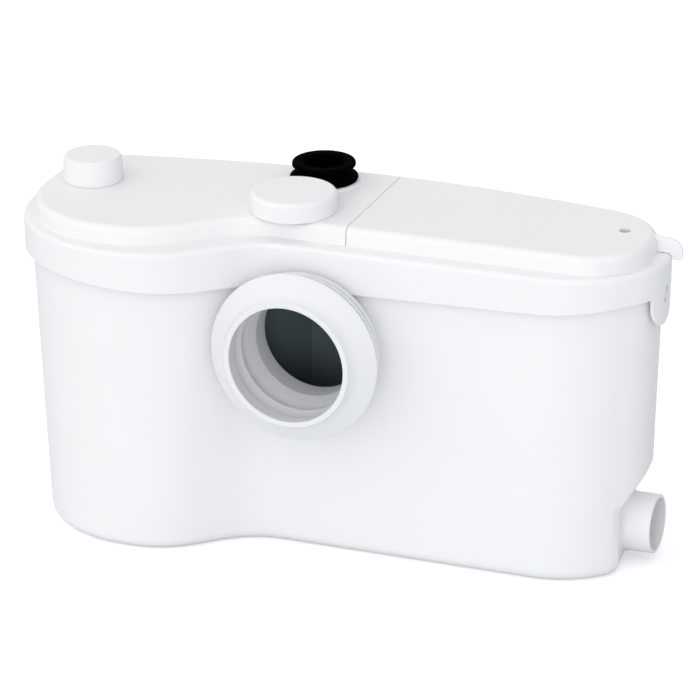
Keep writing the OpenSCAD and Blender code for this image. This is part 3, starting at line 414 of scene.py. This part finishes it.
def keep_left(points, x):
    """The ring with what lies right of x drawn back onto that line."""
    return [Vector((min(p.x, x), p.y, p.z)) for p in points]


def middle(low, high):
    """The x and y in the middle of a box."""
    return (low.x + high.x) / 2, (low.y + high.y) / 2


lid_edge = split_x - split_gap / 2
rings = [keep_left(ring(ledge_points, d, z), lid_edge - lid_wall) for d, z in hollow_top(deck_z - lid_wall)]
rings += [ring(ledge_points, 2.0, deck_z - lid_wall), ring(skirt_points, lid_wall, deck_z - lid_wall)]
rings += [skirt_ring(lid_wall, 0.0), skirt_ring(0.8, 0.0), skirt_ring(0.25, 0.25), skirt_ring(0.0, 0.9)]
rings += [
    ring(skirt_points, rim_round * (1 - math.cos(a)), deck_z - rim_round * (1 - math.sin(a))) for a in quarter(8)]
rings += [ring(ledge_points, 0.0, deck_z)]
rings += [keep_left(ring(ledge_points, d, z), lid_edge) for d, z in raised_top()]
lid = loft("lid_shell", rings)
left_low, left_high = [corner * 1000 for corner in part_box("left_cap")]
left_x, left_y = middle(left_low, left_high)
access_low, access_high = [corner * 1000 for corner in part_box("inspection_cap")]
access_x, access_y = middle(access_low, access_high)
out_low, out_high = [corner * 1000 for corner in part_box("discharge_connector")]
out_x, out_y = middle(out_low, out_high)
screw_low, screw_high = [corner * 1000 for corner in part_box("cover_screw")]
screw_x, screw_y = middle(screw_low, screw_high)
neck_wall = 3.0
left_neck_r, left_neck_low, left_neck_top = 20.0, 250.0, top_z + 15.5
access_neck_r, access_neck_low, access_neck_top = 26.0, 235.0, top_z + 11.0
out_groove_r, out_collar_r, out_collar_top = 21.5, 29.3, top_z + 2.2
screw_post_r, screw_thread_r = 6.0, 1.8
switch_x, switch_y, switch_top, switch_post_r = -140.0, -20.0, 248.0, 5.0
switch_post_top = top_z - 1
hatch_x, hatch_y, hatch_w, hatch_d, hatch_round = split_x + 26, -36.0, 160.0, 100.0, 12.0
hatch_plan = [
    (hatch_x, hatch_y, hatch_round), (hatch_x + hatch_w, hatch_y, hatch_round),
    (hatch_x + hatch_w, hatch_y + hatch_d, hatch_round), (hatch_x, hatch_y + hatch_d, hatch_round)]
combine(lid, "UNION", [
    rod((switch_x - 24, switch_y - 18, switch_top), UPRIGHT, switch_post_r, switch_post_top - switch_top),
    rod((switch_x + 24, switch_y + 18, switch_top), UPRIGHT, switch_post_r, switch_post_top - switch_top),
    rod((left_x, left_y, left_neck_low), UPRIGHT, left_neck_r, left_neck_top - left_neck_low),
    rod((access_x, access_y, access_neck_low), UPRIGHT, access_neck_r, access_neck_top - access_neck_low),
    rod((out_x, out_y, top_z - 1), UPRIGHT, out_collar_r, out_collar_top - top_z + 1),
    rod((screw_x, screw_y, deck_z - 16), UPRIGHT, screw_post_r, 15)])
combine(lid, "DIFFERENCE", [
    rod((left_x, left_y, left_neck_low - 10), UPRIGHT, left_neck_r - neck_wall, 80),
    rod((access_x, access_y, access_neck_low - 5), UPRIGHT, access_neck_r - neck_wall, 80),
    rod((out_x, out_y, top_z - 20), UPRIGHT, out_groove_r + 0.3, 40),
    rod((screw_x, screw_y, deck_z - 30), UPRIGHT, screw_thread_r, 40),
    loft("hatch", [ring(outline(hatch_plan, 8), 0, z) for z in (deck_z - lid_wall - 1, deck_z + 1)]),
    rod((0, wing_y + 12, inlet_z), TO_FRONT, collar_r + 1, 30),
    rod((lid_high.x - 12, clip_y, clip_z), TO_X, clip_r + 0.5, 20)])
dress(lid, polypropylene, "case", "case_white", "lid")

# Service cover
# The raised right part of the top, a separate white polypropylene moulding over the electrics hatch. It is held by
# one screw in a deep well and lifted by a hooked lug that reaches over the rim at the right end.
cover_edge = split_x + split_gap / 2


def keep_right(points, x):
    """The ring with what lies left of x drawn back onto that line."""
    return [Vector((max(p.x, x), p.y, p.z)) for p in points]


def cover_points():
    """The part of the raised top's outline right of the split line, closed along that line."""
    clear_x = split_x + 2
    back_corner = 6
    right = [p for p in top_points if p[0] > clear_x]
    after = [p for p in corner_points(top_plan, back_corner, 40) if p[0] <= clear_x][0]
    last = right[-1]
    split_back_y = last[1] + (after[1] - last[1]) * (last[0] - cover_edge) / (last[0] - after[0])
    return [(cover_edge, wing_y + ledge_front, 0, -1)] + right + [(cover_edge, split_back_y, 0, 1)]


cover_outline = cover_points()
rings = [keep_right(ring(cover_outline, d, z), cover_edge + lid_wall) for d, z in hollow_top(deck_z)]
rings += [keep_right(ring(cover_outline, d, z), cover_edge) for d, z in raised_top()]
cover = loft("service_cover_shell", rings)


def prism(name, profile, y0, y1, edge):
    """An upright profile of (x, z) points drawn out along Y, with its two rims rounded."""
    shape = bmesh.new()
    front = [shape.verts.new((x / 1000, y0 / 1000, z / 1000)) for x, z in profile]
    back = [shape.verts.new((x / 1000, y1 / 1000, z / 1000)) for x, z in profile]
    caps = [shape.faces.new(front), shape.faces.new(back[::-1])]
    for i in range(len(profile)):
        k = (i + 1) % len(profile)
        shape.faces.new((front[k], front[i], back[i], back[k]))
    bmesh.ops.recalc_face_normals(shape, faces=shape.faces)
    rims = [e for face in caps for e in face.edges]
    bmesh.ops.bevel(shape, geom=rims, offset=edge / 1000, segments=3, profile=0.5, affect="EDGES")
    return settle(name, shape)


lug_root, lug_gap, lug_tip = lid_high.x - 16, 0.3, lid_high.x + 8.3
lug_front, lug_back, lug_round = 22.5, 25.1, 0.5
lug_plan = [
    (lug_root, deck_z + lug_gap, 0), (lid_high.x + lug_gap, deck_z + lug_gap, 4.3),
    (lid_high.x + lug_gap, deck_z - 5, 0.4), (lug_tip, deck_z - 5, 2.8),
    (lug_tip, deck_z + 12.2, 11.0), (lug_root, deck_z + 14, 0)]
well_r, well_wall, well_floor, shank_r = 4.5, 2.5, deck_z + 6, 2.4
combine(cover, "UNION", [
    prism("lug", rounded_profile(lug_plan, 12), lug_front, lug_back, lug_round),
    rod((screw_x, screw_y, deck_z), UPRIGHT, well_r + well_wall, top_z - deck_z - 1)])
combine(cover, "DIFFERENCE", [
    rod((screw_x, screw_y, well_floor), UPRIGHT, well_r, 20),
    rod((screw_x, screw_y, deck_z - 1), UPRIGHT, shank_r, 20)])
dress(cover, polypropylene, "cover", "case_white", "service_cover")

# Cover screw
# A steel screw, cold headed and turned, that holds the service cover down on a post of the lid. Only its
# head shows, at the bottom of the cover's well, coloured nearly black as painted shade for the depth of that well.


def turned(name, colour, roughness, pitch_mm):
    """Turned or drawn metal: fine rings from the tool, close together along the axis of the motor."""
    bands_per_unit = 20 / math.tau  # of the wave node, at a scale of 1
    relief_mm = 0.02
    material = bpy.data.materials.new(name)
    tree = empty_tree(material)
    place = add(tree, "ShaderNodeTexCoord", {}, {})
    tool_rings = add(tree, "ShaderNodeTexWave", {"bands_direction": "X"}, {
        "Vector": place.outputs["Object"], "Scale": 1000 / pitch_mm / bands_per_unit,
        "Distortion": 1.5, "Detail": 2.0})
    shine = add(tree, "ShaderNodeMapRange", {}, {
        "Value": tool_rings.outputs["Fac"], "To Min": roughness - 0.06, "To Max": roughness + 0.08})
    relief = add(tree, "ShaderNodeBump", {}, {
        "Height": tool_rings.outputs["Fac"], "Strength": 0.2, "Distance": relief_mm / 1000})
    surface = add(tree, "ShaderNodeBsdfPrincipled", {}, {
        "Base Color": linear(colour), "Metallic": 1.0, "Roughness": shine.outputs["Result"],
        "Normal": relief.outputs["Normal"]})
    add(tree, "ShaderNodeOutputMaterial", {}, {"Surface": surface.outputs["BSDF"]})
    return material


def show(material, *names):
    """Gives a material to CAD nodes that are seen as they are."""
    for name in names:
        nodes[name].data.materials.clear()
        nodes[name].data.materials.append(material)


# Screw steel: coloured nearly black as painted shade for the deep well, with a dull shine broken by the rings of
# the tool.
# The real rings are about 0.1 mm apart; here and on the motor they are drawn coarser so that they still show.
steel_dark_as_painted_shade = turned("turned_steel_painted_well_shade", "#2A2B2D", roughness=0.4, pitch_mm=1.583)
show(steel_dark_as_painted_shade, "cover_screw")

# Gasket and seals
# The gasket on the tank's rim and the rings on the two necks are moulded in silicone rubber. The lid and the caps
# squeeze them as they close.
# Silicone rubber: a plain mid grey with a dull, slightly waxy surface.
seal_rubber = moulded(
    "grey_silicone_rubber", "#6A6C6E", "#5C5E60",
    roughness=0.6, ior=1.41, shine=0.5, grain_mm=0.8, depth_mm=0.02)
show(seal_rubber, "lid_gasket", "left_cap_seal", "inspection_cap_seal")

# Caps
# Two white polypropylene push-on caps: a narrow one with a stepped top on the left inlet, and a broad one with a
# rounded edge on the inspection neck. Each lifts straight off its neck.
cap_gap, cap_foot = 0.3, top_z + 0.1
left_top, left_r, left_lip_r = left_high.z, 23.7, 22.4
left_ceiling = left_neck_top + 1
left_corners = [
    (0, left_ceiling, 0), (left_neck_r + cap_gap, left_ceiling, 0.5), (left_neck_r + cap_gap, cap_foot, 0),
    (left_r + 0.4, cap_foot, 0.5), (left_r, left_top - 3.1, 0.7), (left_lip_r, left_top - 2.8, 0.3),
    (left_lip_r, left_top - 0.2, 1.0), (0, left_top, 0)]
left_cap = lathe("left_inlet_cap", rounded_profile(left_corners, 6), (left_x, left_y, 0), UPRIGHT, 160)
dress(left_cap, polypropylene, "left_inlet_cap", "case_white", "left_cap")

access_top, access_r, access_wall = access_high.z, 34.4, 2.6
access_ceiling, groove_ceiling, grip_foot = access_neck_top + 1, access_neck_top + 0.6, top_z + 0.6
grip_in, grip_out = access_neck_r + cap_gap, access_neck_r + 2.5
access_corners = [
    (0, access_ceiling, 0), (grip_in, access_ceiling, 0.6), (grip_in, grip_foot, 0), (grip_out, grip_foot, 0.6),
    (grip_out, groove_ceiling, 0.8), (access_r - access_wall, groove_ceiling, 0.8),
    (access_r - access_wall, cap_foot, 0), (access_r, cap_foot, 0.5), (access_r, access_top - 0.4, 3.8),
    (0, access_top, 0)]
access_cap = lathe(
    "inspection_cap_shell", rounded_profile(access_corners, 10), (access_x, access_y, 0), UPRIGHT, 192)
dress(access_cap, polypropylene, "inspection_lid", "case_white", "inspection_cap")

# Discharge connector
# A spool of black EPDM rubber, moulded in one piece and snapped into the lid by its groove. Two soft discs grip the
# discharge pipe from outside, and its foot is pushed over the pipe that rises inside the case.
# EPDM rubber: a dull, sooty black with almost no gloss.
epdm = moulded(
    "black_epdm_rubber", "#020202", "#010101",
    roughness=0.8, ior=1.5, shine=0.01, grain_mm=0.8, depth_mm=0.02)
pipe_seat_r, pipe_stop_r, hose_seat_r = 15.8, 14.2, 16.0
lower_disc_r, upper_disc_r = 27.7, 25.8
foot_corners = [
    (pipe_seat_r, top_z - 11, 0.5), (24.1, top_z - 9.5, 1), (24.9, top_z - lid_wall - 0.2, 0.3),
    (out_groove_r, top_z - lid_wall, 0), (out_groove_r, top_z + 2.3, 0)]
disc_corners = [
    (27.1, top_z + 2.3, 0.6), (lower_disc_r, top_z + 5.0, 1.4), (out_groove_r, top_z + 9.4, 1.2),
    (21.6, top_z + 11.0, 1.0), (upper_disc_r, out_high.z - 3.2, 1.4), (25.4, out_high.z, 1.6)]
bore_corners = [
    (18, out_high.z, 0.8), (hose_seat_r, out_high.z - 2, 0.6), (hose_seat_r, top_z - 3, 0),
    (pipe_stop_r, top_z - 3, 0), (pipe_stop_r, top_z - 4, 0), (pipe_seat_r, top_z - 4, 0)]
out_corners = foot_corners + disc_corners + bore_corners
connector = lathe("discharge_spool", rounded_profile(out_corners, 6), (out_x, out_y, 0), UPRIGHT, 160)
dress(connector, epdm, "case", "rubber_black", "discharge_connector")

# Pan inlet sleeve
# A sleeve of soft white rubber pushed over the tank's collar. Its lip and inner rings seal on the pan's spigot, a
# ribbed band grips the collar, and its tube leads into the grinder chamber.
# White rubber: a shade greyer and duller than the case, and almost without grain, because its tool is polished.
white_rubber = moulded(
    "white_rubber_moulded", "#E9EAEC", "#E6E8EA",
    roughness=0.55, ior=1.5, shine=0.3, grain_mm=1.6, depth_mm=0.006)
sleeve_low, sleeve_high = [corner * 1000 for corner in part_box("inlet_sleeve")]
sleeve_d = sleeve_high.y - sleeve_low.y
flange_r = (sleeve_high.x - sleeve_low.x) / 2
mouth_r, lip_r = 47.5, 51.9
tube_r, tube_bore_r, wide_r = 47.0, 44.6, 52.7
throat_step, web = 21.3, 46.3
seat_r = collar_r + 0.2
band_end = sleeve_d - 17.5
band_start = band_end - 26
band_drop = 7.8
groove_depth, groove_width, groove_floor, undercut = 3.8, 5.4, 3.8, 1.8


def band_r(s):
    """Radius of the tapered band at a depth s from the sleeve's inner end."""
    return flange_r - band_drop * (band_end - s) / (band_end - band_start)


def rib_corners():
    """Two undercut grooves round the tapered band, with rounded shoulders."""
    corners = []
    for s in (band_end - 18.0, band_end - 7.6):
        floor_r = band_r(s) - groove_depth
        corners += [(band_r(s), s, 0.8), (floor_r, s - undercut, 0.4)]
        corners += [(floor_r, s + groove_floor, 0.4), (band_r(s + groove_width), s + groove_width, 0.8)]
    return corners


tube_corners = [
    (tube_bore_r, 0, 0.8), (tube_r, 0, 0.8), (tube_r, throat_step - 1.4, 2), (50.9, throat_step + 3.6, 2),
    (wide_r, throat_step + 11.3, 1), (wide_r, web, 0.3), (seat_r, web, 0.3), (seat_r, band_start, 0.3),
    (band_r(band_start), band_start, 1.2)]
lip_corners = [
    (flange_r, band_end, 1.6), (53.2, sleeve_d - 6.8, 12), (lip_r, sleeve_d, 1.0), (mouth_r, sleeve_d, 0.9),
    (mouth_r, sleeve_d - 3, 0.6)]
fold_corners = [
    (50.6, sleeve_d - 4.4, 0.8), (49.7, sleeve_d - 15.2, 0.6), (51.5, sleeve_d - 16.8, 0.6),
    (51.2, sleeve_d - 24, 20), (48.5, sleeve_d - 29.4, 0.7), (50.8, sleeve_d - 31.2, 0.4),
    (50.6, sleeve_d - 37, 22), (48.3, sleeve_d - 42.2, 0.4), (45.0, sleeve_d - 50.6, 0.6)]
sleeve_corners = tube_corners + rib_corners() + lip_corners + fold_corners
sleeve = lathe("pan_sleeve", rounded_profile(sleeve_corners, 5), (0, sleeve_high.y, inlet_z), TO_FRONT, 192)
swell_x, swell_y, swell_slope = -38.0, -64.5, 0.54
swell_far_x, swell_far_y = -80.0, -87.2


def swell_side(from_x, low):
    """What is cut from the back of the band, on a slant, where the case swells to the front on the left."""
    near_y = swell_y + swell_slope * (from_x - swell_x)
    corners = [(from_x, near_y), (from_x, 0), (swell_far_x, 0), (swell_far_x, swell_far_y)]
    return loft("swell", [[Vector((x, y, z)) for x, y in corners] for z in (low, low + 150)])


combine(sleeve, "DIFFERENCE", [swell_side(-53.2, inlet_z - 75), swell_side(swell_x, inlet_z + 42)])
dress(sleeve, white_rubber, "case", "sleeve_white", "inlet_sleeve")

# Grinder chamber
# A box of dark grey polypropylene on four legs behind the pan inlet, with a cover over it, both injection moulded.
# Its wall is the dark space that shows in the inlet.
# Dark polypropylene: a cool slate grey with a weak, even gloss.
dark_plastic = moulded(
    "dark_grey_polypropylene", "#6A767B", "#626D72",
    roughness=0.5, ior=1.49, shine=0.4, grain_mm=1.2, depth_mm=0.03)
show(dark_plastic, "grinder_chamber", "chamber_cover")

# Grinder and pump
# A fixed cutter ring and a rotor on the motor shaft, both turned from stainless steel, shred what comes in. An
# impeller in a volute, both moulded in glass-filled nylon, lifts it, and a rubber seal keeps water from the motor.
# Stainless steel: bright, cool metal with fine tool rings.
stainless = turned("turned_stainless_steel", "#B9BBBE", roughness=0.3, pitch_mm=3.167)
# Glass-filled nylon: dark grey, dull, with a coarse dry grain from the fibres.
grey_plastic = moulded(
    "grey_glass_filled_nylon", "#4A4D50", "#404346",
    roughness=0.55, ior=1.53, shine=0.5, grain_mm=0.9, depth_mm=0.04)
show(stainless, "cutter_ring", "grinder_rotor")
show(grey_plastic, "impeller", "pump_volute")
show(epdm, "shaft_seal")

# Motor
# A sealed can and end cap of drawn stainless steel hold two bearings, a stator with copper windings, and a rotor on
# the shaft. The can lies in a cradle moulded in glass-filled nylon.
# Core plates: dark dull steel, lined by the edges of the stacked sheets. The sheets are 0.5 mm, drawn at 2.4 mm.
core_plates = turned("stacked_core_plates", "#5B5C5E", roughness=0.45, pitch_mm=2.375)
# Lacquered copper wire: warm red brown with a soft shine, lined turn by turn. The wire is 0.6 mm, drawn at 2.8 mm.
copper_wire = turned("lacquered_copper_wire", "#9C5528", roughness=0.35, pitch_mm=2.771)
show(stainless, "motor_shaft", "motor_can", "motor_end_cap", "front_bearing", "rear_bearing")
show(core_plates, "motor_rotor", "stator")
show(copper_wire, "windings")
show(grey_plastic, "motor_cradle")

# Discharge line and flaps
# A polypropylene pipe rises from the pump to the connector in the lid, with a valve body of glass-filled nylon in
# its level run. Rubber flaps on pins stop the water from running back there and at the side inlet.
show(polypropylene, "discharge_pipe")
show(grey_plastic, "valve_body")
show(epdm, "valve_flap", "side_inlet_flap")

# Level switch
# Air that rising water traps in the pressure chamber lifts a rubber membrane, and an ivory plunger in its cover
# presses the microswitch. The housing hangs on two posts of the lid; the rigid pieces are glass-filled nylon.
# Ivory nylon: a warm pale cream with a soft gloss.
ivory_plastic = moulded(
    "ivory_nylon", "#E4DFCF", "#D8D2C0",
    roughness=0.45, ior=1.53, shine=0.5, grain_mm=1.0, depth_mm=0.02)
show(grey_plastic, "pressure_chamber", "membrane_cover", "microswitch", "switch_housing")
show(epdm, "membrane")
show(ivory_plastic, "switch_plunger")

# Electrics
# A box and lid of white polypropylene under the service cover keep the capacitor and the terminal block dry. The
# supply enters through a gland of black nylon, held in the back wall of the tank by its own nut.
# Black nylon: a deep black with a soft gloss.
black_nylon = moulded(
    "black_nylon_moulded", "#0B0B0C", "#080809",
    roughness=0.5, ior=1.53, shine=0.4, grain_mm=0.8, depth_mm=0.02)
show(polypropylene, "electrics_box", "electrics_lid")
show(ivory_plastic, "capacitor", "terminal_block")
show(black_nylon, "cable_gland")

# Studio
# A white paper sweep in a white room that is brightest at the upper left front, with one broad soft lamp low in
# front, as for a catalogue picture. The camera stands far off to the right and above, with a long lens.
view_az, view_el, view_roll = [math.radians(a) for a in (21.0, 22.6, 0.52)]
focal_px, frame_px, sensor_mm = 4000.0, 700, 36.0
aim = Vector((-0.0013, -0.105, 0.1785))
aim_px = (285.2, 366.0)
distance = 3.1051
backward = Vector((
    math.sin(view_az) * math.cos(view_el), -math.cos(view_az) * math.cos(view_el), math.sin(view_el)))
right = (-backward).cross(Vector((0, 0, 1))).normalized()
down = (-backward).cross(right)
right, down = (
    math.cos(view_roll) * right + math.sin(view_roll) * down,
    math.cos(view_roll) * down - math.sin(view_roll) * right)
eye = aim + backward * distance
eye -= right * (aim_px[0] - frame_px / 2) * distance / focal_px
eye -= down * (aim_px[1] - frame_px / 2) * distance / focal_px
lens = bpy.data.cameras.new("camera")
lens.sensor_width = sensor_mm
lens.lens = sensor_mm * focal_px / frame_px
lens.clip_end = 20.0
camera = link("camera", lens)
camera.matrix_world = Matrix.Translation(eye) @ Matrix((right, -down, backward)).transposed().to_4x4()
bpy.context.scene.camera = camera

bank_place, bank_target = Vector((0.7, -2.8, 0.35)), Vector((0.0, 0.0, 0.12))
bank_light = bpy.data.lights.new("front_bank", "AREA")
bank_light.size = 1.6
bank_light.energy = 19.0
bank_turn = (bank_place - bank_target).to_track_quat("Z", "Y").to_matrix().to_4x4()
bank = link("front_bank", bank_light)
bank.matrix_world = Matrix.Translation(bank_place) @ bank_turn

floor_reach = 6
floor_mesh = bpy.data.meshes.new("floor")
floor_corners = [(floor_reach * x, floor_reach * y, 0) for x, y in ((-1, -1), (1, -1), (1, 1), (-1, 1))]
floor_mesh.from_pydata(floor_corners, [], [(0, 1, 2, 3)])
floor = link("floor", floor_mesh)
# Sweep paper: matt white that lifts to the tone of the background where the camera sees it.
paper = bpy.data.materials.new("white_sweep_paper")
tree = empty_tree(paper)
path = add(tree, "ShaderNodeLightPath", {}, {})
matt = add(tree, "ShaderNodeBsdfDiffuse", {}, {"Color": linear("#E6E8EA")})
glow = add(tree, "ShaderNodeEmission", {}, {"Color": linear("#FFFFFF"), "Strength": 0.40})
lit = add(tree, "ShaderNodeAddShader", {}, {0: matt.outputs[0], 1: glow.outputs[0]})
seen = add(tree, "ShaderNodeMixShader", {}, {
    0: path.outputs["Is Camera Ray"], 1: matt.outputs[0], 2: lit.outputs[0]})
add(tree, "ShaderNodeOutputMaterial", {}, {"Surface": seen.outputs[0]})
floor_mesh.materials.append(paper)

bright_side = (-0.40, -0.60, 0.693)
dim_level, bright_level = 0.22, 1.19
world = bpy.data.worlds.new("white_room")
bpy.context.scene.world = world
tree = empty_tree(world)
path = add(tree, "ShaderNodeLightPath", {}, {})
place = add(tree, "ShaderNodeTexCoord", {}, {})
facing = add(tree, "ShaderNodeVectorMath", {"operation": "DOT_PRODUCT"}, {
    0: place.outputs["Generated"], 1: bright_side})
dome = add(tree, "ShaderNodeMapRange", {}, {
    "Value": facing.outputs["Value"], "From Min": -1.0, "From Max": 1.0,
    "To Min": dim_level, "To Max": bright_level})
mirrored = add(tree, "ShaderNodeMath", {"operation": "MAXIMUM"}, {
    0: path.outputs["Is Glossy Ray"], 1: path.outputs["Is Transmission Ray"]})
plain = add(tree, "ShaderNodeMath", {"operation": "MAXIMUM"}, {
    0: path.outputs["Is Camera Ray"], 1: mirrored.outputs[0]})
level = add(tree, "ShaderNodeMix", {"data_type": "FLOAT"}, {
    0: plain.outputs[0], 2: dome.outputs["Result"], 3: 1.0})
tint = add(tree, "ShaderNodeMix", {"data_type": "RGBA"}, {
    0: level.outputs[0], 6: linear("#E2EAF4"), 7: linear("#FFFFFF")})
sky = add(tree, "ShaderNodeBackground", {}, {"Color": tint.outputs[2], "Strength": level.outputs[0]})
add(tree, "ShaderNodeOutputWorld", {}, {"Surface": sky.outputs[0]})
bpy.context.scene.view_settings.view_transform = "Standard"
